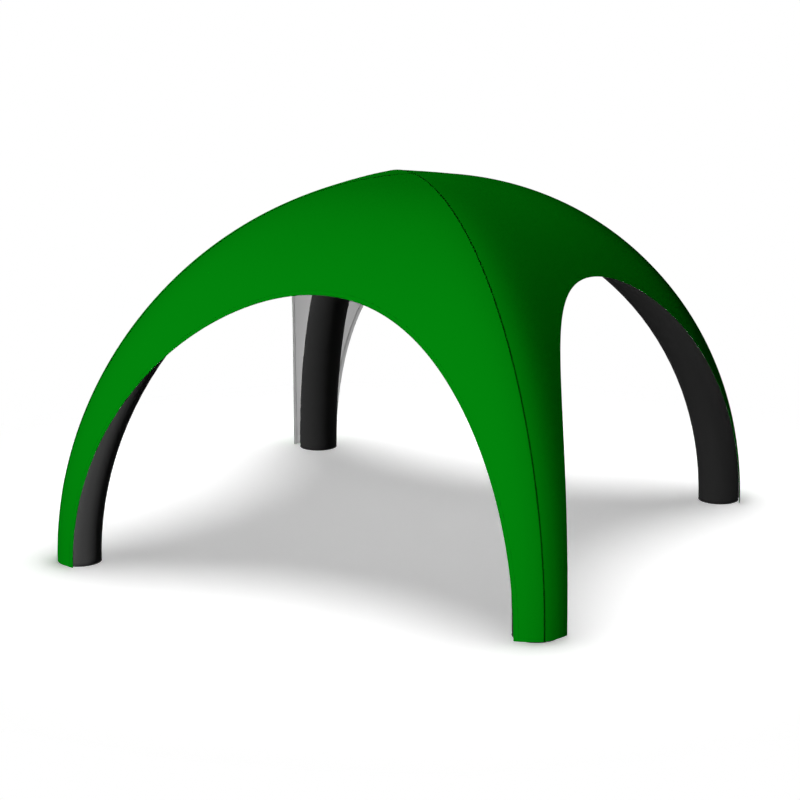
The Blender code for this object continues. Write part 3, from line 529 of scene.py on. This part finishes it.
def arc_place(tree):
    """Where a point of a leg's trim lies across and along the leg's arc, in metres."""
    spot = position(tree)
    split = node(tree, "ShaderNodeSeparateXYZ")
    tree.links.new(spot, split.inputs[0])
    level = node(tree, "ShaderNodeVectorMath", {1: (1, 1, 0)}, operation="MULTIPLY")
    tree.links.new(spot, level.inputs[0])
    up = math_node(tree, "ARCTAN2", split.outputs[2], length_of(tree, level.outputs[0]))
    across = math_node(tree, "SUBTRACT", length_of(tree, spot), math.hypot(PATH_R, SLEEVE_FLAT))
    return across, math_node(tree, "MULTIPLY", up, PATH_R)


def weave(tree, layout, thread):
    """A plain weave's height: over and under in turn, from two crossed waves."""
    split = node(tree, "ShaderNodeSeparateXYZ")
    tree.links.new(layout, split.inputs[0])
    waves = [
        math_node(tree, "SINE", math_node(tree, "MULTIPLY", split.outputs[axis], math.pi / thread))
        for axis in (0, 1)
    ]
    return math_node(tree, "MULTIPLY", *waves)


def stitch_row(tree, value, centre, along):
    """1 on the dashes of a row of stitches, where value is near centre, and 0 away from them."""
    off = math_node(tree, "ABSOLUTE", math_node(tree, "SUBTRACT", value, centre))
    line = remap(tree, off, THREAD_HALF, THREAD_HALF + THREAD_SOFT, 1.0, 0.0)
    phase = math_node(tree, "FRACT", math_node(tree, "DIVIDE", along, STITCH_PITCH))
    return math_node(tree, "MULTIPLY", line, math_node(tree, "LESS_THAN", phase, STITCH_SHARE))


def cloth_material(
    name, colour, thread, roughness, specular,
    variation=0.06, pucker=0.0, stitches=(), thread_colour=None, trim=False,
):
    """Coated woven cloth: weave, slow shade changes, rows of stitches and puckers beside them.

    A row of stitches is the name of a mesh's point value and the value that it runs at. A trim
    is a solid without such values and UV, so its place on the leg's arc stands for them.
    """
    material, tree, bsdf = shader(name, colour, roughness, specular=specular)
    if trim:
        across, along = arc_place(tree)
        joined = node(tree, "ShaderNodeCombineXYZ")
        tree.links.new(across, joined.inputs[0])
        tree.links.new(along, joined.inputs[1])
        layout = joined.outputs[0]
    else:
        along = attribute(tree, "along")
        layout = node(tree, "ShaderNodeTexCoord").outputs["UV"]
    slow, fine = noise(tree, position(tree), CLOUD_SCALE, 3.0), noise(tree, position(tree), FINE_SCALE)
    cloudy = math_node(
        tree, "ADD", math_node(tree, "MULTIPLY", slow, 0.75), math_node(tree, "MULTIPLY", fine, 0.25),
    )
    tint = mixed(tree, cloudy, scaled(colour, 1 - variation), scaled(colour, 1 + variation))
    threads = weave(tree, layout, thread)
    crossing = remap(tree, threads, 0.0, 1.0, 0.35, 0.65)
    shade = mixed(tree, 0.5, tint, mixed(tree, crossing, scaled(colour, 0.94), scaled(colour, 1.06)))
    normal = bump(tree, threads, WEAVE_RISE, 0.35)
    if pucker:
        edge = math_node(tree, "MINIMUM", attribute(tree, "near"), attribute(tree, "far"))
        fade = remap(tree, edge, 0.0, PUCKER_REACH, 1.0, 0.0)
        ripples = math_node(tree, "MULTIPLY", noise(tree, layout, PUCKER_SCALE, 1.0), fade)
        normal = bump(tree, ripples, pucker, 0.5, normal)
    for source, centre in stitches:
        value = math_node(tree, "ABSOLUTE", across) if trim else attribute(tree, source)
        row = stitch_row(tree, value, centre, along)
        shade = mixed(tree, row, shade, thread_colour)
        normal = bump(tree, row, THREAD_RISE, 0.8, normal)
    gloss = remap(tree, fine, 0.0, 1.0, roughness - 0.05, roughness + 0.07)
    tree.links.new(shade, bsdf.inputs["Base Color"])
    tree.links.new(gloss, bsdf.inputs["Roughness"])
    tree.links.new(normal, bsdf.inputs["Normal"])
    return material


def moulded(name, colour, roughness, grain=900.0, depth=0.00008, metallic=0.0):
    """Moulded plastic, rubber or cast metal: fine grain and slight unevenness."""
    material, tree, bsdf = shader(name, colour, roughness, metallic)
    coarse, fine = noise(tree, position(tree), MOULD_SCALE, 3.0), noise(tree, position(tree), grain)
    tree.links.new(mixed(tree, coarse, scaled(colour, 0.86), scaled(colour, 1.14)), bsdf.inputs["Base Color"])
    gloss = remap(tree, coarse, 0.0, 1.0, roughness - 0.08, roughness + 0.08)
    tree.links.new(gloss, bsdf.inputs["Roughness"])
    tree.links.new(bump(tree, fine, depth, 0.5), bsdf.inputs["Normal"])
    return material


def coil_teeth(name, colour, pitch):
    """A zip's coil: one ridge across it every pitch along the leg's arc, with painted shade between the
    ridges and their tops painted lighter.
    """
    material, tree, bsdf = shader(name, colour, 0.36)
    along = arc_place(tree)[1]
    wave = math_node(tree, "SINE", math_node(tree, "MULTIPLY", along, math.tau / pitch))
    tooth_and_shade = remap(tree, wave, -0.5, 0.4, shape="SMOOTHSTEP")
    # The ridge mask also darkens the base colour between the teeth and lightens their tops: painted shade and
    # painted highlight, not the coil's own colour. The same mask drives the bump.
    tree.links.new(mixed(tree, tooth_and_shade, scaled(colour, 0.3), scaled(colour, 1.5)), bsdf.inputs["Base Color"])
    tree.links.new(bump(tree, tooth_and_shade, 0.0008), bsdf.inputs["Normal"])
    return material


GREEN = (0.0006, 0.2158, 0.0036)
canopy_green = cloth_material(
    "canopy_green", GREEN, thread=0.0008, roughness=0.7, specular=0.0, variation=0.05, pucker=0.0016,
    stitches=(("near", 0.009), ("far", 0.006), ("far", 0.036)), thread_colour=scaled(GREEN, 0.55),
)
canopy_grey = cloth_material(
    "canopy_underside", grey(0.52), thread=0.0008, roughness=0.7, specular=0.05, variation=0.04,
    pucker=0.0016, stitches=(("near", 0.009),), thread_colour=grey(0.3),
)
hem_grey = cloth_material(
    "hem_webbing", grey(0.48), thread=0.0022, roughness=0.75, specular=0.05, variation=0.05,
)
seam_green = cloth_material(
    "seam_tape", scaled(GREEN, 0.16), thread=0.001, roughness=0.8, specular=0.0, variation=0.05,
    stitches=(("across", 0.0018), ("across", 0.0082)), thread_colour=scaled(GREEN, 0.35),
)
sleeve_black = cloth_material(
    "sleeve_black", grey(0.037), thread=0.0011, roughness=0.8, specular=0.015, variation=0.08,
    pucker=0.0012, stitches=(("near", 0.012), ("far", 0.03)), thread_colour=grey(0.06),
)
strip_black = cloth_material(
    "hook_and_loop", grey(0.012), thread=0.0018, roughness=0.95, specular=0.05, variation=0.2, trim=True,
)
zip_black = cloth_material(
    "zip_tape", (0.022, 0.022, 0.023), thread=0.0009, roughness=0.85, specular=0.1, variation=0.1,
    stitches=(("across", 0.0135),), thread_colour=grey(0.09), trim=True,
)
tape_black = cloth_material(
    "binding_tape", (0.018, 0.018, 0.019), thread=0.0009, roughness=0.85, specular=0.1, variation=0.1,
)
teeth_black = coil_teeth("zip_teeth", (0.04, 0.04, 0.041), pitch=0.0025)
zinc_black = moulded("zip_zinc", (0.09, 0.09, 0.093), 0.36, grain=1200.0, depth=0.00003, metallic=0.7)
sole_black = moulded("sole_vinyl", grey(0.022), 0.55, grain=700.0, depth=0.0002)
valve_grey = moulded("valve_grey", (0.28, 0.28, 0.285), 0.42)
valve_black = moulded("valve_black", (0.022, 0.022, 0.023), 0.4)
rubber_black = moulded("seal_rubber", grey(0.018), 0.75)
steel = moulded("spring_steel", (0.52, 0.52, 0.53), 0.3, grain=1500.0, depth=0.00002, metallic=1.0)
film = moulded("bladder_film", (0.13, 0.135, 0.14), 0.3, grain=300.0, depth=0.00005)

FINISHES = {
    "canopy_fastener": strip_black,
    "foot_sole": sole_black,
    "zip_tape": zip_black,
    "zip_coil": teeth_black,
    "zip_slider": zinc_black,
    "zip_pull": zinc_black,
    "air_link_port": valve_grey,
    "air_link_nut": valve_black,
    "valve_base": valve_grey,
    "valve_body": valve_black,
    "valve_plunger": valve_grey,
    "valve_seal": rubber_black,
    "valve_cap": valve_black,
    "valve_cap_strap": rubber_black,
    "relief_base": valve_grey,
    "relief_body": valve_black,
    "relief_poppet": valve_grey,
    "relief_cover": valve_black,
}
ROUNDED = {
    "zip_slider", "zip_pull", "valve_base", "valve_body", "valve_cap",
    "relief_base", "relief_body", "relief_cover",
}
ROUNDING = 0.0002
EDGE_ANGLE = math.radians(35)
FLAT_ANGLE = math.radians(1)
# How much of a spring's wire lies flat at each end
FLAT_COIL_SHARE = 0.12


# Pieces

def add_canopy():
    """The four panels, each of cloth, its grey lining and a hem. Returns the linings and hems."""
    cloth_mesh, strip_mesh = canopy_mesh(), hem_mesh()
    lining_mesh = pulled_in(cloth_mesh.copy(), CLOTH / 2)
    under = []
    for name, angle in PANELS.items():
        strip = place(
            f"hem_webbing_{name}", strip_mesh, turn_z(angle), [hem_grey, seam_green],
            replaces=[f"arch_hem_{name}"],
        )
        cloth = place(
            f"canopy_cloth_{name}", cloth_mesh, turn_z(angle), [canopy_green],
            replaces=[f"canopy_panel_{name}"],
        )
        lining = place(
            f"canopy_lining_{name}", lining_mesh, turn_z(angle), [canopy_grey, canopy_green],
        )
        solidify(strip, HEM_THICK, rim=1)
        solidify(cloth, CLOTH / 2)
        solidify(lining, CLOTH / 2, rim=1)
        under += [lining, strip]
    return under


def add_legs():
    """The sleeves, bladders and ridge seams, with the front leg's open for its two valves."""
    sleeve = tube_mesh(
        "sleeve", SLEEVE_R, SLEEVE_LIFT, gap=0.00002, rows=160, sides=48, rounded=0.012, ripple=0.0006,
    )
    bladder = tube_mesh("bladder", BLADDER_R, BLADDER_LIFT, gap=0.002, rows=80, sides=32)
    open_sleeve = open_for_valves(sleeve.copy(), SLEEVE_FLAT, "sleeve")
    open_bladder = open_for_valves(bladder.copy(), BLADDER_FLAT, "bladder")
    seam = seam_mesh(rows=120)
    for leg, angle in LEGS.items():
        front = leg == "front"
        air = place(
            f"bladder_{leg}", open_bladder if front else bladder, turn_z(angle), [film],
            replaces=[f"leg_bladder_{leg}"],
        )
        tube = place(
            f"sleeve_{leg}", open_sleeve if front else sleeve, turn_z(angle), [sleeve_black],
            replaces=[f"leg_sleeve_{leg}"],
        )
        bindings = [
            place(
                f"binding_{name}", binding_mesh(valve["up"], valve["sleeve"]), turn_z(angle), [tape_black],
            )
            for name, valve in VALVES.items() if front
        ]
        strip = place(f"ridge_seam_{leg}", seam, turn_z(angle), [seam_green])
        solidify(air, BLADDER_THICK)
        solidify(tube, SLEEVE_THICK)
        solidify(strip, SEAM_THICK)


def softened(name, cad, material):
    """The same piece with smooth sides and its edges slightly rounded."""
    mesh = cad.data.copy()
    mesh.name = name
    mesh.materials.clear()
    if mesh.has_custom_normals:
        mesh.attributes.remove(mesh.attributes["custom_normal"])
    edit = bmesh.new()
    edit.from_mesh(mesh)
    bmesh.ops.remove_doubles(edit, verts=edit.verts, dist=WELD)
    bmesh.ops.dissolve_limit(edit, angle_limit=FLAT_ANGLE, verts=edit.verts, edges=edit.edges)
    edit.to_mesh(mesh)
    edit.free()
    mesh.shade_smooth()
    obj = place(
        f"{name}_dressed", mesh, cad.matrix_world.copy(), [material], cad["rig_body"], replaces=[name],
    )
    edge = obj.modifiers.new("edges", "BEVEL")
    edge.width = ROUNDING
    edge.segments = 2
    edge.limit_method = "ANGLE"
    edge.angle_limit = EDGE_ANGLE
    obj.modifiers.new("normals", "WEIGHTED_NORMAL")


def dress(name, cad):
    """Gives a solid that still shows its finish, on a rounded copy where it is moulded or cast."""
    kind = max((key for key in FINISHES if name.startswith(key)), key=len)
    if kind in ROUNDED:
        softened(name, cad, FINISHES[kind])
    else:
        cad.data.materials.clear()
        cad.data.materials.append(FINISHES[kind])


def add_spring(name, joint, turns=4, turn_steps=24, sides=10):
    """A finely coiled copy of a spring with flat end turns, laid along its valve's joint axis."""
    cad = frame["nodes"][name]
    corners = np.array([cad.matrix_world @ v.co for v in cad.data.vertices])
    jointed = next(j for j in frame["joints"] if j["name"] == joint)
    axis = Vector(jointed["axis"]).normalized()
    heights = corners @ np.array(axis)
    flattened = corners - np.outer(heights, axis)
    middle = flattened.mean(axis=0)
    away = np.linalg.norm(flattened - middle, axis=1)
    wire, radius = (away.max() - away.min()) / 2, (away.max() + away.min()) / 2
    side = axis.orthogonal().normalized()
    shares = np.linspace(0, 1, turn_steps * turns + 1)
    angle = shares * turns * math.tau
    low, high = heights.min() + wire, heights.max() - wire
    climb = np.clip((shares - FLAT_COIL_SHARE) / (1 - 2 * FLAT_COIL_SHARE), 0, 1)
    rise = low + (high - low) * climb
    centre = middle + np.outer(rise, axis)
    out = np.outer(np.cos(angle), side) + np.outer(np.sin(angle), axis.cross(side))
    around = np.arange(sides) / sides * math.tau
    points = centre[:, None] + out[:, None] * (radius + wire * np.cos(around))[None, :, None]
    points = points + np.array(axis)[None, None] * (wire * np.sin(around))[None, :, None]
    uv = np.stack(np.meshgrid(around * wire, angle * radius), -1)
    mesh = closed(grid(name, points, uv, wrap=True))
    coil = place(f"{name}_coil", mesh, Matrix(), [steel], replaces=[name])
    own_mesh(coil)


linings = add_canopy()
add_legs()
add_spring("valve_spring", "valve_push")
add_spring("relief_spring", "relief_lift")
for name, cad in list(frame["nodes"].items()):
    if not cad.hide_render:
        dress(name, cad)


# Camera, floor and light

CAMERA_AZIMUTH = 26.782
CAMERA_ELEVATION = 13.854
CAMERA_DISTANCE = 18.66
CAMERA_LENS = 107.5
CAMERA_TARGET = Vector((-0.0906, -0.0458, 1.0458))
FLOOR_HALF = 400.0
# The floor's shadow is softened by this much emission, and it fades out between two distances
SHADOW_LIFT = 0.39
FADE_FROM = 3.6
FADE_TO = 5.0
FLOOR_BOUNCE = 0.03
SKY_FILL = 0.07
SUN_ANGLE = 4.0
LAMP_HEIGHT = 8.3
LAMP_RADIUS = 2.4
LAMP_RADIANCE = 0.89
LAMP_PLACE = (0.06, 0.08, LAMP_HEIGHT)
WHITE = (1, 1, 1, 1)


def direction(azimuth, elevation):
    """A way out from the middle, by its angle from -Y toward +X and its angle above the ground."""
    az, el = math.radians(azimuth), math.radians(elevation)
    return Vector((math.sin(az) * math.cos(el), -math.cos(az) * math.cos(el), math.sin(el)))


def add_camera():
    data = bpy.data.cameras.new("camera")
    data.lens = CAMERA_LENS
    data.sensor_width = 36.0
    data.clip_end = 2000.0
    camera = bpy.data.objects.new("camera", data)
    bpy.context.scene.collection.objects.link(camera)
    away = direction(CAMERA_AZIMUTH, CAMERA_ELEVATION)
    camera.location = CAMERA_TARGET + away * CAMERA_DISTANCE
    camera.rotation_euler = away.to_track_quat("Z", "Y").to_euler()
    bpy.context.scene.camera = camera


def seen_ray(tree):
    """1 for rays that show the background: to the camera, through glass or off a gloss."""
    path = node(tree, "ShaderNodeLightPath")
    through = math_node(tree, "MAXIMUM", path.outputs["Is Camera Ray"], path.outputs["Is Transmission Ray"])
    return math_node(tree, "MAXIMUM", through, path.outputs["Is Glossy Ray"])


def mix_shader(tree, factor, first, second):
    made = node(tree, "ShaderNodeMixShader")
    for slot, value in enumerate((factor, first, second)):
        tree.links.new(value, made.inputs[slot])
    return made.outputs[0]


def emission(tree, strength):
    return node(tree, "ShaderNodeEmission", {"Color": WHITE, "Strength": strength}).outputs[0]


def background(tree, strength):
    return node(tree, "ShaderNodeBackground", {"Color": WHITE, "Strength": strength}).outputs[0]


def diffuse(tree, level):
    return node(tree, "ShaderNodeBsdfDiffuse", {"Color": (*grey(level), 1)}).outputs[0]


def floor_paint():
    """White paint that shows the tent's soft shadow near it and is plain white farther out."""
    material = bpy.data.materials.new("floor_paint")
    material.use_nodes = True
    tree = material.node_tree
    tree.nodes.clear()
    shadowed = node(tree, "ShaderNodeAddShader")
    tree.links.new(diffuse(tree, 1), shadowed.inputs[0])
    tree.links.new(emission(tree, SHADOW_LIFT), shadowed.inputs[1])
    fade = remap(tree, length_of(tree, position(tree)), FADE_FROM, FADE_TO)
    ground = mix_shader(tree, fade, shadowed.outputs[0], emission(tree, 1.0))
    out = node(tree, "ShaderNodeOutputMaterial")
    tree.links.new(mix_shader(tree, seen_ray(tree), diffuse(tree, FLOOR_BOUNCE), ground), out.inputs[0])
    return material


def add_floor():
    mesh = bpy.data.meshes.new("floor")
    corners = [(x * FLOOR_HALF, y * FLOOR_HALF, 0) for x, y in ((-1, -1), (1, -1), (1, 1), (-1, 1))]
    mesh.from_pydata(corners, [], [(0, 1, 2, 3)])
    mesh.materials.append(floor_paint())
    floor = bpy.data.objects.new("floor", mesh)
    bpy.context.scene.collection.objects.link(floor)
    return floor


def add_world():
    world = bpy.data.worlds.new("world")
    bpy.context.scene.world = world
    world.use_nodes = True
    tree = world.node_tree
    tree.nodes.clear()
    out = node(tree, "ShaderNodeOutputWorld")
    sky = mix_shader(tree, seen_ray(tree), background(tree, SKY_FILL), background(tree, 1.0))
    tree.links.new(sky, out.inputs[0])


def lamp(name, kind, energy, lit, shadow):
    """A light that lights only the objects in lit."""
    group = bpy.data.collections.new(f"{name}_lights")
    for obj in lit:
        group.objects.link(obj)
    data = bpy.data.lights.new(name, kind)
    data.energy = energy
    data.use_shadow = shadow
    obj = bpy.data.objects.new(name, data)
    bpy.context.scene.collection.objects.link(obj)
    obj.light_linking.receiver_collection = group
    return obj


def sun(name, azimuth, elevation, radiance, lit, glossy=True):
    """A sun without shadow that lights a facing white surface to this radiance."""
    obj = lamp(name, "SUN", radiance * math.pi, lit, False)
    obj.data.angle = math.radians(SUN_ANGLE)
    obj.rotation_euler = direction(azimuth, elevation).to_track_quat("Z", "Y").to_euler()
    obj.visible_glossy = glossy


def add_lights(floor, linings):
    """The photo's own light: a key and a weak back light outside, an even one under the canopy."""
    shown = [o for o in bpy.data.objects if o.type == "MESH" and o is not floor and not o.hide_render]
    sleeves = {leg: bpy.data.objects[f"sleeve_{leg}"] for leg in LEGS}
    outside = [o for o in shown if o not in linings]
    own_key = [sleeves["left"], sleeves["right"], sleeves["back"]]
    sun("key", -5, 24, 1.0, [o for o in outside if o not in own_key])
    sun("key_left", -5, 24, 1.75, [sleeves["left"]])
    sun("key_right", -5, 24, 0.48, [sleeves["right"]])
    sun("key_back", -30, 24, 0.72, [sleeves["back"]])
    sun("back", 225, 9, 0.6, outside, glossy=False)
    sun("underside_front", 45, -20, 0.75, linings)
    sun("underside_back", 225, -20, 0.75, shown, glossy=False)
    energy = LAMP_RADIANCE * math.pi**2 * (LAMP_RADIUS**2 + LAMP_HEIGHT**2)
    above = lamp("above", "AREA", energy, [floor], True)
    above.data.shape = "DISK"
    above.data.size = 2 * LAMP_RADIUS
    above.location = LAMP_PLACE


add_camera()
floor = add_floor()
add_world()
add_lights(floor, linings)
bpy.context.scene.view_settings.view_transform = "Standard"
# Suns from opposite sides lose light on some faces when the light tree picks among them
bpy.context.scene.cycles.use_light_tree = False
